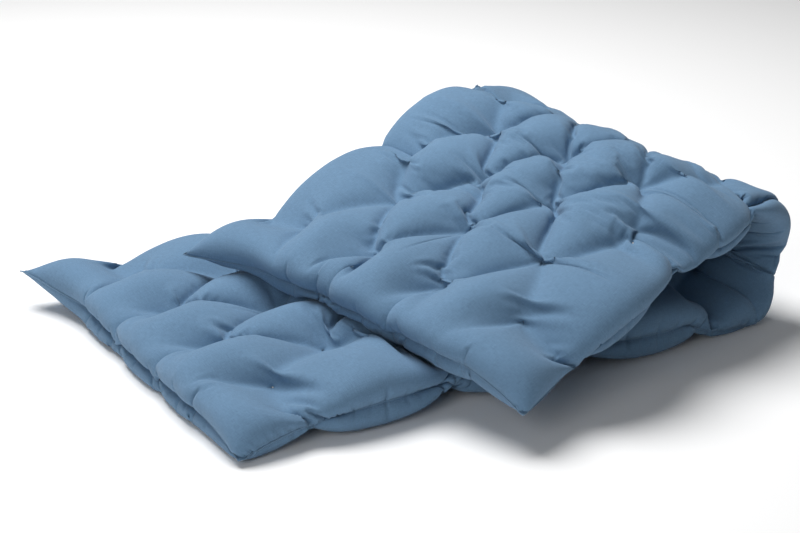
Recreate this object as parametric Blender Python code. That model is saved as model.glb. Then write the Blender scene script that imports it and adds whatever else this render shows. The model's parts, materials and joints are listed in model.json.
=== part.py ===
"""Tufted futon mattress, 70 x 200 cm, lying on the floor and folded back over itself once.

The cover keeps its length on the outside of the fold, so every hinge line of the fold lies on the
outer face. The mattress is shaped flat, in material coordinates (u along, v across, z up from the
outer face), then each section is swung up about the hinge lines that come before it.
"""

import math

import bmesh
import bpy
from mathutils import Matrix, Vector

# Driving dimensions, in metres
LENGTH = 2.00
WIDTH = 0.70
HALF_THICK = 0.043
ROW_PITCH = 0.125
COLUMN_PITCH = 0.16
ROWS = 15
SIDE_MARGIN = (WIDTH - 3 * COLUMN_PITCH) / 2

# Fold: place along the middle line, skew of the line and turn, for each hinge line
HINGE_AT = (0.944, 1.061, 1.186, 1.312, 1.437)
HINGE_SKEW = (0.166, 0.094, 0.107, 0.106, 0.066)
HINGE_TURN_DEG = (42.7, 50.5, 43.8, 29.8, 29.6)
SECTIONS = ("lower", "fold_1", "fold_2", "fold_3", "fold_4", "upper")
# Middle of the footprint, in material coordinates of the lower section
FRAME_ORIGIN = (0.51232, 0.25866)

# Build of the layers
CLOTH = 0.0012
GAP = 0.0004
MID_GAP = 0.0003
BATTING_PLAY = 0.0005
TWINE = 0.0018
TWINE_SLOT = 0.0013
HOLE = 0.0032
STITCH_LENGTH = 0.009
STITCH_HEIGHT = 0.0012

# Outline of the cushion shape
PIT_SHARE = 0.26
PIT_RADIUS = 0.028
EDGE_ROLL = 0.10
SIDE_PINCH = 0.010
EAR_LENGTH = 0.030
EAR_SPREAD = 0.010
COVER_INSET = 0.0025
BATTING_INSET = 0.030
SEAM_INSET = 0.0011
SEAM_RADIUS = 0.0010
UNDERSIDE_PRESS = 1.26

BLUE = (0.088, 0.168, 0.275, 1.0)
SEAM_BLUE = (0.070, 0.140, 0.235, 1.0)
THREAD_BLUE = (0.055, 0.115, 0.200, 1.0)
COTTON = (0.80, 0.76, 0.67, 1.0)


def clear_scene():
    for obj in list(bpy.data.objects):
        bpy.data.objects.remove(obj, do_unlink=True)


def material(name, colour, roughness):
    mat = bpy.data.materials.new(name)
    mat.use_nodes = True
    shader = mat.node_tree.nodes["Principled BSDF"]
    shader.inputs["Base Color"].default_value = colour
    shader.inputs["Roughness"].default_value = roughness
    mat.diffuse_color = colour
    return mat


def tuft_columns(row):
    """Places across the width of the tufts of this row: four on odd rows, three on even ones."""
    first = SIDE_MARGIN if row % 2 else SIDE_MARGIN + COLUMN_PITCH / 2
    return [first + COLUMN_PITCH * i for i in range(4 if row % 2 else 3)]


TUFTS = [(row, row * ROW_PITCH, v) for row in range(1, ROWS + 1) for v in tuft_columns(row)]


def clamp(value, low, high):
    return max(low, min(high, value))


def roll(distance):
    """Height of the rounded edge, from 0 at the seam to 1 where the roll ends."""
    t = clamp(distance / EDGE_ROLL, 0.0, 1.0)
    return math.sqrt(1.0 - (1.0 - t) ** 2)


def cushion(u, v):
    """Half thickness of the mattress at a point: diamond bulges between the tufts, thin at the seam."""
    uc = clamp(u, ROW_PITCH, LENGTH - ROW_PITCH)
    vc = clamp(v, SIDE_MARGIN, WIDTH - SIDE_MARGIN)
    along = uc / (2 * ROW_PITCH)
    across = (vc - SIDE_MARGIN) / COLUMN_PITCH
    diamond = abs(math.cos(math.pi * (along + across)) * math.cos(math.pi * (along - across)))
    near = min((u - tu) ** 2 + (v - tv) ** 2 for _, tu, tv in TUFTS)
    pit = math.exp(-near / PIT_RADIUS ** 2)
    bulge = 0.30 * (1.0 - pit) + 0.70 * diamond ** 0.6
    edge = roll(min(u, LENGTH - u)) * roll(min(v, WIDTH - v))
    thin = CLOTH + MID_GAP / 2
    return thin + (HALF_THICK - thin) * edge * (PIT_SHARE + (1 - PIT_SHARE) * bulge)


def inner_face(u, v):
    """Height of the face that ends up inside the fold."""
    return HALF_THICK + cushion(u, v)


def outer_face(u, v, section):
    """Height of the face outside the fold. Under the lower section it is pressed flat on the floor."""
    if section == 0:
        return max(0.0, HALF_THICK - UNDERSIDE_PRESS * cushion(u, v))
    return HALF_THICK - cushion(u, v)


def hinge_line(index, v):
    return HINGE_AT[index] - (v - WIDTH / 2) * math.tan(HINGE_SKEW[index])


def wedge(index, z):
    """Room taken from each side of a hinge line at height z, so that the fold closes without overlap."""
    lean = math.tan(math.radians(HINGE_TURN_DEG[index]) / 2) / math.cos(HINGE_SKEW[index])
    return GAP / 2 + z * lean


def section_start(section, v, z, inset):
    if section == 0:
        return inset
    return hinge_line(section - 1, v) + wedge(section - 1, z)


def section_end(section, v, z, inset):
    if section == len(SECTIONS) - 1:
        return LENGTH - inset
    return hinge_line(section, v) - wedge(section, z)


def ear_weight(u):
    return (clamp(1 - u / ROW_PITCH, 0.0, 1.0) - clamp(1 - (LENGTH - u) / ROW_PITCH, 0.0, 1.0)) ** 3


def side_weight(v):
    return clamp(1 - v / SIDE_MARGIN, 0.0, 1.0) ** 2 - clamp(1 - (WIDTH - v) / SIDE_MARGIN, 0.0, 1.0) ** 2


def outline(u, v):
    """Moves a point of the plain rectangle to the real outline: pinched sides and pulled-out corners."""
    clear_of_fold = 1.0 if u < 0.78 or u > 1.60 else 0.0
    pinch = SIDE_PINCH * clear_of_fold * (0.5 - 0.5 * math.cos(math.pi * u / ROW_PITCH))
    pinch *= clamp(min(u, LENGTH - u) / (ROW_PITCH / 2), 0.0, 1.0)
    x = u - EAR_LENGTH * ear_weight(u) * abs(side_weight(v))
    y = v + side_weight(v) * (pinch - EAR_SPREAD * abs(ear_weight(u)))
    return x, y


def section_matrix(section):
    """Placement of a section once every hinge line before it has turned."""
    placed = Matrix.Identity(4)
    for index in range(section):
        centre = Vector((HINGE_AT[index], WIDTH / 2, 0.0))
        axis = Vector((-math.sin(HINGE_SKEW[index]), math.cos(HINGE_SKEW[index]), 0.0))
        turn = Matrix.Rotation(-math.radians(HINGE_TURN_DEG[index]), 4, axis)
        placed = placed @ Matrix.Translation(centre) @ turn @ Matrix.Translation(-centre)
    return placed


def lines_across(section, batting):
    """Lines of the grid across the mattress. Long batting takes a coarse grid, which stays in the cover."""
    if batting and section in (0, len(SECTIONS) - 1):
        middle = [SIDE_MARGIN + COLUMN_PITCH / 2 * i for i in range(7)]
        return [BATTING_INSET] + middle + [WIDTH - BATTING_INSET]
    inside = [BATTING_INSET, 0.065] if batting else [COVER_INSET, BATTING_INSET, 0.065]
    middle = [SIDE_MARGIN + COLUMN_PITCH / 4 * i for i in range(13)]
    return inside + middle + [WIDTH - line for line in reversed(inside)]


def lines_along(section, batting):
    """Lines of the grid strictly between the two ends of a section."""
    if 0 < section < len(SECTIONS) - 1:
        row = ROW_PITCH * round((HINGE_AT[section - 1] + HINGE_AT[section]) / 2 / ROW_PITCH)
        return [row + shift for shift in (-0.028, 0.0, 0.028)]
    start = 0.0 if section == 0 else HINGE_AT[section - 1] + 0.012
    end = LENGTH if section == len(SECTIONS) - 1 else HINGE_AT[section] - 0.012
    step = ROW_PITCH if batting else ROW_PITCH / 2
    lines = [step * i for i in range(1, 2 * ROWS + 2) if start < step * i < end]
    if section == 0 and not batting:
        lines = [BATTING_INSET] + lines
    if section == len(SECTIONS) - 1 and not batting:
        lines = lines + [LENGTH - BATTING_INSET]
    return lines


def grid_face(section, height, along, across, inset):
    """Points of one face of a layer, as rows of (u, v, z) that end on the cuts of the section."""
    face = []
    last = len(along) + 1
    for i in range(last + 1):
        row = []
        for v in across:
            z = HALF_THICK
            u = 0.0
            for _ in range(4):
                low = section_start(section, v, z, inset)
                high = section_end(section, v, z, inset)
                if i == 0:
                    u = low
                elif i == last:
                    u = high
                else:
                    room = min(0.0015, (high - low) / (last + 1))
                    u = clamp(along[i - 1], low + room * i, high - room * (last - i))
                z = height(u, v)
            row.append((u, v, z))
        face.append(row)
    return face


def layer_mesh(name, low_face, high_face):
    """Closed solid between two faces that share one grid."""
    mesh = bmesh.new()
    count_u = len(low_face)
    count_v = len(low_face[0])
    sheets = []
    for face in (low_face, high_face):
        sheet = []
        for row in face:
            line = []
            for u, v, z in row:
                x, y = outline(u, v)
                line.append((mesh.verts.new((x, y, z)), cushion(u, v)))
            sheet.append(line)
        for i in range(count_u - 1):
            for j in range(count_v - 1):
                cell = (sheet[i][j], sheet[i + 1][j], sheet[i + 1][j + 1], sheet[i][j + 1])
                a, b, c, d = (vert for vert, _ in cell)
                heights = [height for _, height in cell]
                # The cell is split clear of its highest corner, so valleys run from tuft to tuft.
                if heights.index(max(heights)) % 2:
                    mesh.faces.new((a, b, c))
                    mesh.faces.new((a, c, d))
                else:
                    mesh.faces.new((a, b, d))
                    mesh.faces.new((b, c, d))
        sheets.append([[vert for vert, _ in line] for line in sheet])
    rim = [(i, 0) for i in range(count_u)]
    rim += [(count_u - 1, j) for j in range(1, count_v)]
    rim += [(i, count_v - 1) for i in range(count_u - 2, -1, -1)]
    rim += [(0, j) for j in range(count_v - 2, 0, -1)]
    for step, (i, j) in enumerate(rim):
        k, m = rim[(step + 1) % len(rim)]
        mesh.faces.new((sheets[0][i][j], sheets[0][k][m], sheets[1][k][m], sheets[1][i][j]))
    bmesh.ops.recalc_face_normals(mesh, faces=mesh.faces)
    data = bpy.data.meshes.new(name)
    mesh.to_mesh(data)
    mesh.free()
    return data


def add_object(name, data, mat):
    obj = bpy.data.objects.new(name, data)
    obj.data.materials.append(mat)
    bpy.context.scene.collection.objects.link(obj)
    return obj


def section_of(u, v):
    for index in range(len(HINGE_AT)):
        if u < hinge_line(index, v):
            return index
    return len(HINGE_AT)


def tuft_cutter(section):
    """Square pins through every tuft of a section."""
    mesh = bmesh.new()
    for _, u, v in TUFTS:
        if section_of(u, v) == section:
            place = Matrix.Translation((u, v, HALF_THICK)) @ Matrix.Diagonal((HOLE, HOLE, 0.2, 1.0))
            bmesh.ops.create_cube(mesh, size=1.0, matrix=place)
    data = bpy.data.meshes.new("tuft_cutter")
    mesh.to_mesh(data)
    mesh.free()
    obj = bpy.data.objects.new("tuft_cutter", data)
    bpy.context.scene.collection.objects.link(obj)
    return obj


def cut_tufts(obj, cutter):
    modifier = obj.modifiers.new("tuft_holes", "BOOLEAN")
    modifier.operation = "DIFFERENCE"
    modifier.solver = "EXACT"
    modifier.object = cutter
    graph = bpy.context.evaluated_depsgraph_get()
    data = bpy.data.meshes.new_from_object(obj.evaluated_get(graph))
    obj.modifiers.clear()
    obj.data = data


def section_layers(section):
    """The four layers of a section as (name, material key, inset, low height, high height)."""
    def outer(u, v):
        return outer_face(u, v, section)

    def outer_lining(u, v):
        return outer(u, v) + CLOTH

    def inner_lining(u, v):
        return inner_face(u, v) - CLOTH

    def loft(u):
        """Share of the room that batting fills: less next to the fold, where it thins out."""
        near_fold = HINGE_AT[0] - 0.06 < u < HINGE_AT[-1] + 0.06
        return 0.60 if near_fold and section in (0, len(SECTIONS) - 1) else 0.97

    def lower_fill_low(u, v):
        room = HALF_THICK - TWINE_SLOT - outer_lining(u, v) - BATTING_PLAY
        return HALF_THICK - TWINE_SLOT - max(room * loft(u), 0.0004)

    def lower_fill_high(u, v):
        return HALF_THICK - TWINE_SLOT

    def upper_fill_low(u, v):
        return HALF_THICK + TWINE_SLOT

    def upper_fill_high(u, v):
        room = inner_lining(u, v) - BATTING_PLAY - HALF_THICK - TWINE_SLOT
        return HALF_THICK + TWINE_SLOT + max(room * loft(u), 0.0004)

    return (
        ("outer_cover", "cover", COVER_INSET, outer, outer_lining),
        ("outer_batting", "batting", BATTING_INSET, lower_fill_low, lower_fill_high),
        ("inner_batting", "batting", BATTING_INSET, upper_fill_low, upper_fill_high),
        ("inner_cover", "cover", COVER_INSET, inner_lining, inner_face),
    )


def build_section(section, mats):
    """Cover and batting of one section, still flat. Returns its layers by kind."""
    built = {}
    cutter = tuft_cutter(section)
    for kind, key, inset, low, high in section_layers(section):
        along = lines_along(section, key == "batting")
        across = lines_across(section, key == "batting")
        low_face = grid_face(section, low, along, across, inset)
        high_face = grid_face(section, high, along, across, inset)
        name = f"{kind}_{SECTIONS[section]}"
        obj = add_object(name, layer_mesh(name, low_face, high_face), mats[key])
        cut_tufts(obj, cutter)
        built[kind] = obj
    bpy.data.objects.remove(cutter, do_unlink=True)
    return built


def face_height(obj, u, v, upward):
    """Level at which a stitch clears the cover around one tuft."""
    levels = []
    for du in (-TWINE / 2, 0.0, TWINE / 2):
        for dv in (-STITCH_LENGTH / 2, -HOLE / 2 - 1e-4, HOLE / 2 + 1e-4, STITCH_LENGTH / 2):
            start = Vector((u + du, v + dv, 0.3 if upward else -0.2))
            hit, point, _, _ = obj.ray_cast(start, Vector((0, 0, -1 if upward else 1)))
            if hit:
                levels.append(point.z)
    return max(levels) + MID_GAP if upward else min(levels) - MID_GAP


def tuft_cells(v, low, high):
    """Rectangles (v0, z0, v1, z1) of one tuft seen along the mattress: the twine and its two stitches."""
    half = TWINE / 2
    side = STITCH_LENGTH / 2
    across = (v - side, v - half, v + half, v + side)
    levels = (low, HALF_THICK - half, HALF_THICK + half, high)
    cells = [(across[1], z0, across[2], z1) for z0, z1 in zip(levels, levels[1:])]
    for v0, v1 in zip(across, across[1:]):
        cells.append((v0, low - STITCH_HEIGHT, v1, low))
        cells.append((v0, high, v1, high + STITCH_HEIGHT))
    return cells


def plate_from_cells(name, cells, u0, u1):
    """Closed solid over rectangles that share their edges, between two planes across the mattress."""
    mesh = bmesh.new()
    corner = {}
    edges = {}

    def vertex(u, v, z):
        key = (u, round(v, 6), round(z, 6))
        if key not in corner:
            corner[key] = mesh.verts.new((u, v, z))
        return corner[key]

    for v0, z0, v1, z1 in cells:
        loop = [(v0, z0), (v1, z0), (v1, z1), (v0, z1)]
        mesh.faces.new([vertex(u0, v, z) for v, z in loop])
        mesh.faces.new([vertex(u1, v, z) for v, z in loop[::-1]])
        for a, b in zip(loop, loop[1:] + loop[:1]):
            key = frozenset((round(v, 6), round(z, 6)) for v, z in (a, b))
            edges.setdefault(key, []).append((a, b))
    for found in edges.values():
        if len(found) == 1:
            a, b = found[0]
            mesh.faces.new((vertex(u0, *a), vertex(u0, *b), vertex(u1, *b), vertex(u1, *a)))
    bmesh.ops.recalc_face_normals(mesh, faces=mesh.faces)
    data = bpy.data.meshes.new(name)
    mesh.to_mesh(data)
    mesh.free()
    return data


def twine_row(row, covers, mat):
    """One running twine: along the middle of the mattress, with a stitch on both faces at each tuft."""
    half = TWINE / 2
    u = row * ROW_PITCH
    cells = []
    for v in tuft_columns(row):
        section = section_of(u, v)
        high = face_height(covers[section]["inner_cover"], u, v, True)
        low = face_height(covers[section]["outer_cover"], u, v, False)
        cells += tuft_cells(v, low, high)
    for v0, v1 in zip(tuft_columns(row), tuft_columns(row)[1:]):
        cells.append((v0 + half, HALF_THICK - half, v1 - half, HALF_THICK + half))
    name = f"tuft_twine_row_{row:02d}"
    return add_object(name, plate_from_cells(name, cells, u - half, u + half), mat)


def seam_across():
    """Places across the width that the seam of a free end passes."""
    inside = [0.03, 0.065, SIDE_MARGIN]
    return inside + [WIDTH / 2] + [WIDTH - v for v in reversed(inside)]


def seam_points(section, side):
    """Points of the edge seam along one side of a section, from its start to its end."""
    v = SEAM_INSET if side == "near" else WIDTH - SEAM_INSET
    start = section_start(section, v, HALF_THICK, SEAM_INSET)
    end = section_end(section, v, HALF_THICK, SEAM_INSET)
    if section > 0:
        start += SEAM_RADIUS
    if section < len(SECTIONS) - 1:
        end -= SEAM_RADIUS
    step = ROW_PITCH / 2
    inner = [step * i for i in range(1, 2 * ROWS + 2) if start + 0.01 < step * i < end - 0.01]
    if section == 0:
        inner = [BATTING_INSET] + inner
    if section == len(SECTIONS) - 1:
        inner = inner + [LENGTH - BATTING_INSET]
    return [(u, v) for u in [start] + inner + [end]]


def seam_tube(name, points, mat):
    """Diamond-section welt that follows the points at mid thickness."""
    placed = []
    for u, v in points:
        x, y = outline(u, v)
        placed.append(Vector((x, y, HALF_THICK)))
    mesh = bmesh.new()
    rings = []
    for i, point in enumerate(placed):
        before = (point - placed[i - 1]).normalized() if i else None
        after = (placed[i + 1] - point).normalized() if i + 1 < len(placed) else None
        if before is None or after is None:
            tangent = before or after
            widen = 1.0
        else:
            tangent = (before + after).normalized()
            widen = 1.0 / max(tangent.dot(after), 0.5)
        sideways = Vector((-tangent.y, tangent.x, 0.0)) * SEAM_RADIUS * widen
        up = Vector((0.0, 0.0, SEAM_RADIUS))
        rings.append([mesh.verts.new(point + way) for way in (sideways, up, -sideways, -up)])
    for one, two in zip(rings, rings[1:]):
        for k in range(4):
            m = (k + 1) % 4
            mesh.faces.new((one[k], one[m], two[m], two[k]))
    mesh.faces.new(rings[0])
    mesh.faces.new(rings[-1][::-1])
    bmesh.ops.recalc_face_normals(mesh, faces=mesh.faces)
    data = bpy.data.meshes.new(name)
    mesh.to_mesh(data)
    mesh.free()
    return add_object(name, data, mat)


def build_seams(section, mat):
    near = seam_points(section, "near")
    far = seam_points(section, "far")
    if section == 0:
        end = [(SEAM_INSET, v) for v in seam_across()]
        return [seam_tube("edge_seam_lower", near[::-1] + end + far, mat)]
    if section == len(SECTIONS) - 1:
        end = [(LENGTH - SEAM_INSET, v) for v in seam_across()]
        return [seam_tube("edge_seam_upper", near + end + far[::-1], mat)]
    name = SECTIONS[section]
    return [
        seam_tube(f"edge_seam_near_{name}", near, mat),
        seam_tube(f"edge_seam_far_{name}", far, mat),
    ]


def build():
    clear_scene()
    mats = {
        "cover": material("blue_woven_cover", BLUE, 0.9),
        "batting": material("cotton_batting", COTTON, 1.0),
        "seam": material("blue_edge_seam", SEAM_BLUE, 0.85),
        "twine": material("blue_tufting_twine", THREAD_BLUE, 0.7),
    }
    covers = [build_section(section, mats) for section in range(len(SECTIONS))]
    bpy.context.view_layer.update()
    members = [list(covers[section].values()) for section in range(len(SECTIONS))]
    for row in range(1, ROWS + 1):
        twine = twine_row(row, covers, mats["twine"])
        middle = row * ROW_PITCH
        members[section_of(middle, WIDTH / 2)].append(twine)
    for section in range(len(SECTIONS)):
        members[section] += build_seams(section, mats["seam"])
    to_frame = Matrix.Translation((-FRAME_ORIGIN[0], -FRAME_ORIGIN[1], 0.0))
    for section, objects in enumerate(members):
        for obj in objects:
            obj.data.transform(to_frame @ section_matrix(section))


build()
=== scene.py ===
"""Looks of the tufted futon mattress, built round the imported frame.

The cover is simulated as two cloth panels sewn together at their edges, held by the tufts, filled from
inside and laid on the floor and on itself. It works in the mattress's own coordinates: u along it from
the free end of the lower layer, v across it from the near edge, off up from the face that lies outside
the fold. The cloth is then cut where the mattress can bend, so that each piece crosses one hinge.
"""

import itertools
import json
import math

import bpy
import numpy as np
from mathutils import Matrix, Vector
from mathutils.bvhtree import BVHTree

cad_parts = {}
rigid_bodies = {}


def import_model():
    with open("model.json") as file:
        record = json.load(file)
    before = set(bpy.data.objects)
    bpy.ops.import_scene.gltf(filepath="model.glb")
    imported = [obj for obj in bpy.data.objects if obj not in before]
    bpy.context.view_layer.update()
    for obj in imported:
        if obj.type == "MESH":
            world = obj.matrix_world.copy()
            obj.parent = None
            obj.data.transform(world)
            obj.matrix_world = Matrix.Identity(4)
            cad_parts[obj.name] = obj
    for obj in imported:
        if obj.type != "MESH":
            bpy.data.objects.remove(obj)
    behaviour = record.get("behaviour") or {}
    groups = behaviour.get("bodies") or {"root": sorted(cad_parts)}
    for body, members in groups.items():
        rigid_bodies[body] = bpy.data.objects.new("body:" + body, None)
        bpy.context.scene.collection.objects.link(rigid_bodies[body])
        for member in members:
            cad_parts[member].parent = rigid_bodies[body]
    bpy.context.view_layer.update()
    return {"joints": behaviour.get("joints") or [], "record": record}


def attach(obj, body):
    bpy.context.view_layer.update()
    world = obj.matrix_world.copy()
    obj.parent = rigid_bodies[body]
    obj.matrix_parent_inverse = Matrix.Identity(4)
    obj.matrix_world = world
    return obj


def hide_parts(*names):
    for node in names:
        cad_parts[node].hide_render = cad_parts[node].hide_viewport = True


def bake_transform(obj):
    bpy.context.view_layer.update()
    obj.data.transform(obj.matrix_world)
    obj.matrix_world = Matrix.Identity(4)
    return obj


# Mattress, in metres
LENGTH = 2.00
WIDTH = 0.70
MID = 0.045
ROW_PITCH = 0.125
COLUMN_PITCH = 0.16
ROWS = 15
SIDE_MARGIN = (WIDTH - 3 * COLUMN_PITCH) / 2
FIRST_HINGE_AT = 0.944

# Fold: one smooth bend, turned about many lines that lie on the outer face
BEND_START = 0.9152
BEND_LENGTH = 0.6383
BEND_TURN = 3.4199
BEND_SKEW = (0.1447, 0.0455)
BEND_STOPS = (0.0, 0.15, 0.35, 0.55, 0.75, 0.90, 1.0)
BEND_SHARES = (0.68, 1.35, 1.00, 0.54, 0.57, 0.37, 0.11)
BEND_LINES = 48

# Windows along the mattress or across it: from the first place to the second, eased
FOLD_RISE, FOLD_FALL = (0.90, 1.00), (1.32, 1.48)
SINK_RISE, SINK_FALL = (0.92, 1.06), (1.14, 1.30)
HANG_RISE = (1.60, 1.85)
TOPSIDE_TURN = (1.1, 1.3)
NEAR_FITTED_RISE = (1.48, 1.58)
MOUTH_BELOW_RISE, MOUTH_BELOW_FALL = (0.92, 1.06), (1.17, 1.25)
MOUTH_ABOVE_RISE, MOUTH_ABOVE_FALL = (1.40, 1.50), (1.60, 1.80)
MOUTH_ACROSS = (0.02, 0.17)
DEEP_TUFTS_FALL = (0.85, 1.00)
START_DROP_FALL, START_LIFT_RISE = (0.40, WIDTH), (0.60, WIDTH)

# Edges: drawn in a little, more at the rows whose last tuft is near the edge, and out at the ears
SEAM_INSET = 0.004
END_INSET = (0.014, 0.004)
START_DROP = 0.018
START_LIFT = 0.018
PINCH = 0.009
# (u, inset, curl in radians over the side margin: towards the inner face, or the outer face if negative)
NEAR_EDGE = (
    (0.00, -0.008, -0.3), (0.13, -0.014, -0.2), (0.25, -0.008, 0.0), (0.45, -0.008, 0.0),
    (0.80, -0.014, 0.0), (0.90, -0.022, -0.5), (0.98, 0.000, -0.9), (1.06, 0.054, -0.5),
    (1.125, 0.066, -0.5), (1.19, 0.066, -0.6), (1.27, 0.050, -0.6), (1.36, 0.040, 0.2),
    (1.50, 0.040, 0.8), (1.625, 0.026, 0.5), (1.75, 0.008, 0.35), (1.90, 0.000, 0.7), (2.00, 0.000, 0.35),
)
FAR_EDGE = (
    (0.00, 0.000, 0.0), (0.20, 0.000, -0.2), (0.85, 0.000, -0.2), (0.98, 0.015, -0.6),
    (1.12, 0.015, -0.5), (1.25, 0.004, -0.4), (1.38, 0.004, -0.35), (1.50, 0.008, 0.1),
    (1.65, 0.006, 0.1), (1.85, 0.010, 0.2), (2.00, 0.000, -0.1),
)
# How far each corner is drawn out along the mattress and across it
EARS = {
    "start_near": (0.008, 0.010), "start_far": (0.078, 0.040),
    "end_near": (0.012, 0.012), "end_far": (0.060, 0.058),
}
EAR_REACH = 0.15
EAR_POWER = 1.5
HANG_FROM = 0.03
HANG = 0.35
FOLD_SINK = 0.036

# Cloth: grids, and how much larger the panels are cut than the mattress
COARSE = (160, 70)
FINE = (320, 140)
FINEST = (480, 210)
EASE_ALONG = 0.235
EASE_ACROSS = 0.245
EASE_FITTED = EASE_ACROSS / 4
EASE_INNER = 1.12
EASE_OUTER = 1.01
FOLD_CRUMPLE = 0.68
FOLD_TAUT = 0.9
LEAST_ACROSS = 0.4
# Less ease at the side margins and the ends, on the underside and on the topside
EASE_MARGIN = (-0.24, -0.12)
EASE_END = (-0.24, -0.10)
SEAM_HOLD = 0.06
SEAM_GATHER = 0.88
FACE_OFF = 0.03
NORMAL_STEP = 0.01

# Filling, and the tufts that hold it down
TUFT_HALF = 0.005
TUFT_UNDER = 0.018
CAP_VALLEY = 0.014
CAP_BULGE = 0.104
CAP_FOLD = 0.72
CAP_UNEVEN = 0.05
UNEVEN_PITCH = 0.08
MOUTH_FLAT = 0.50
BULGE_POWER = 0.5
END_ROLL = (0.3 * ROW_PITCH, 0.9 * ROW_PITCH)
END_ROLL_SHARE = 0.75
PUSH_VALLEY = 0.35
START_SHARE = 0.35
START_SPREAD = 0.0003
LEAST_THICK = 0.003
SEED = 7

# The lower layer's top as a height map, for the upper layer to rest on
CLEARANCE = 0.004
MAP_CELL = 0.0125
MAP_SIZE = (120, 90)
MAP_MARGIN = 0.1
MAP_LOWER_TO, MAP_UPPER_FROM = 0.98, 1.42
MAX_LIFT = 0.01

# (grid, steps, rounds, push, damping, stiffness) of each run, the first from flat panels
RUNS = (
    (COARSE, 140, 4, 0.0008, 0.90, 0.030),
    (FINE, 120, 5, 0.0004, 0.88, 0.012),
    (FINEST, 60, 5, 0.00027, 0.85, 0.006),
)
SHEAR = 0.25

# Pieces: half the width of each hinge's bend, and how far a cut may leave the line midway between hinges
BEND_ZONE = 0.004
CUT_SWAY = 0.05
INNER_UV_SHIFT = 1.0

# Seam and its topstitch
SEAM_RADIUS = 0.0011
STITCH_PITCH = 0.0044
STITCH_LENGTH = 0.0028
STITCH_RADIUS = 0.00036
STITCH_INSET = 0.0042
STITCH_LIFTS = (-0.6, 0.7, -0.6)

# Tufting twine, as bars of a few strands
THREAD_RADIUS = 0.0006
THREAD_SPAN = 0.009
THREADS = 4
THREAD_SPREAD = 1.7
THREAD_LEAN = 0.12
THREAD_ARCH = 0.0010
THREAD_SINK = 0.0005
THREAD_POINTS = 9

# Batting: its share of the room inside the cover, and its grid's first line and pitch, along and across
BATTING_SHARE = 0.70
BATTING_LEAST = 0.0008
BATTING_U = (0.050, 0.0125)
BATTING_V = (0.070, 0.010)

# Colours, linear, and the pitch of the weave
LINEN = (0.118, 0.215, 0.335)
SEAM_THREAD = (0.13, 0.235, 0.36)
TWINE = (0.07, 0.14, 0.24)
COTTON_DARK, COTTON_LIGHT = (0.70, 0.65, 0.55, 1.0), (0.86, 0.83, 0.75, 1.0)
SHEEN = (0.62, 0.74, 0.88, 1.0)
FLOOR = (0.95, 0.95, 0.95, 1.0)
WHITE = (1.0, 1.0, 1.0, 1.0)
THREAD_PITCH = 0.0009

# Camera and studio; a softbox is (place, size, power)
CAMERA_AT = (-1.4734, -2.3733, 1.2188)
CAMERA_YAW = 1.03973
CAMERA_PITCH = 0.37556
CAMERA_LENS = 81.0
SENSOR_WIDTH = 36.0
KEY = ((-0.4, 1.3, 3.3), 2.6, 164)
FILL = ((-2.7, -2.0, 1.7), 2.0, 30)
LIT_POINT = (0.0, 0.0, 0.1)
WORLD_STRENGTH = 0.12
FLOOR_SIZE = 14.0
FLOOR_LEVEL = -0.0005

f4 = np.float32


def bend_lines():
    """(place along the middle, turn, skew) of each line that the fold turns about."""
    share = (np.arange(BEND_LINES) + 0.5) / BEND_LINES
    turn = np.interp(share, BEND_STOPS, BEND_SHARES)
    turn *= BEND_TURN / turn.sum()
    skew = BEND_SKEW[0] + (BEND_SKEW[1] - BEND_SKEW[0]) * share
    return list(zip(BEND_START + BEND_LENGTH * share, turn, skew))


def folded(u, v, off):
    """Points of the flat mattress once the fold has been laid over."""
    points = np.stack(np.broadcast_arrays(u, v, off), -1).astype(float)
    flat_u, flat_v = points[..., 0].copy(), points[..., 1].copy()
    width = BEND_LENGTH / BEND_LINES
    for at, turn, skew in reversed(bend_lines()):
        past = (flat_u + (flat_v - WIDTH / 2) * math.tan(skew) - at) / width + 0.5
        past = np.clip(past, 0, 1)
        moved = past > 0
        axis = np.array([-math.sin(skew), math.cos(skew), 0.0])
        centre = np.array([at, WIDTH / 2, 0.0])
        arm = points[moved] - centre
        angle = -turn * past[moved]
        cos, sin = np.cos(angle)[:, None], np.sin(angle)[:, None]
        along = axis * (arm @ axis)[:, None]
        points[moved] = centre + arm * cos + np.cross(axis, arm) * sin + along * (1 - cos)
    return points


def smooth(x, low, high):
    """0 up to low, 1 from high, eased between."""
    t = np.clip((x - low) / (high - low), 0, 1)
    return t * t * (3 - 2 * t)


def window(x, rise, fall):
    """1 between the two slopes, 0 outside them."""
    return smooth(x, *rise) * (1 - smooth(x, *fall))


def in_fold(u):
    """1 in the fold, 0 in both layers."""
    return window(u, FOLD_RISE, FOLD_FALL)


def along_edge(points, u):
    """Inset and curl at u, eased from one given place to the next."""
    at = np.array([p[0] for p in points])
    i = np.clip(np.searchsorted(at, u) - 1, 0, len(at) - 2)
    t = smooth(u, at[i], at[i + 1])
    return [np.array(v)[i] * (1 - t) + np.array(v)[i + 1] * t for v in zip(*(p[1:] for p in points))]


def curled(depth, off, inset, curl):
    """(distance in from the edge's tuft line, off) of a point of a side margin that curls."""
    turn = np.where(np.abs(curl) < 1e-3, 1e-3, curl)
    t = depth / SIDE_MARGIN
    angle = turn * t
    radius = SIDE_MARGIN / turn
    out = radius * np.sin(angle) - inset * t ** 2 + (off - MID) * -np.sin(angle)
    return out, MID + radius * (1 - np.cos(angle)) + (off - MID) * np.cos(angle)


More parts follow.
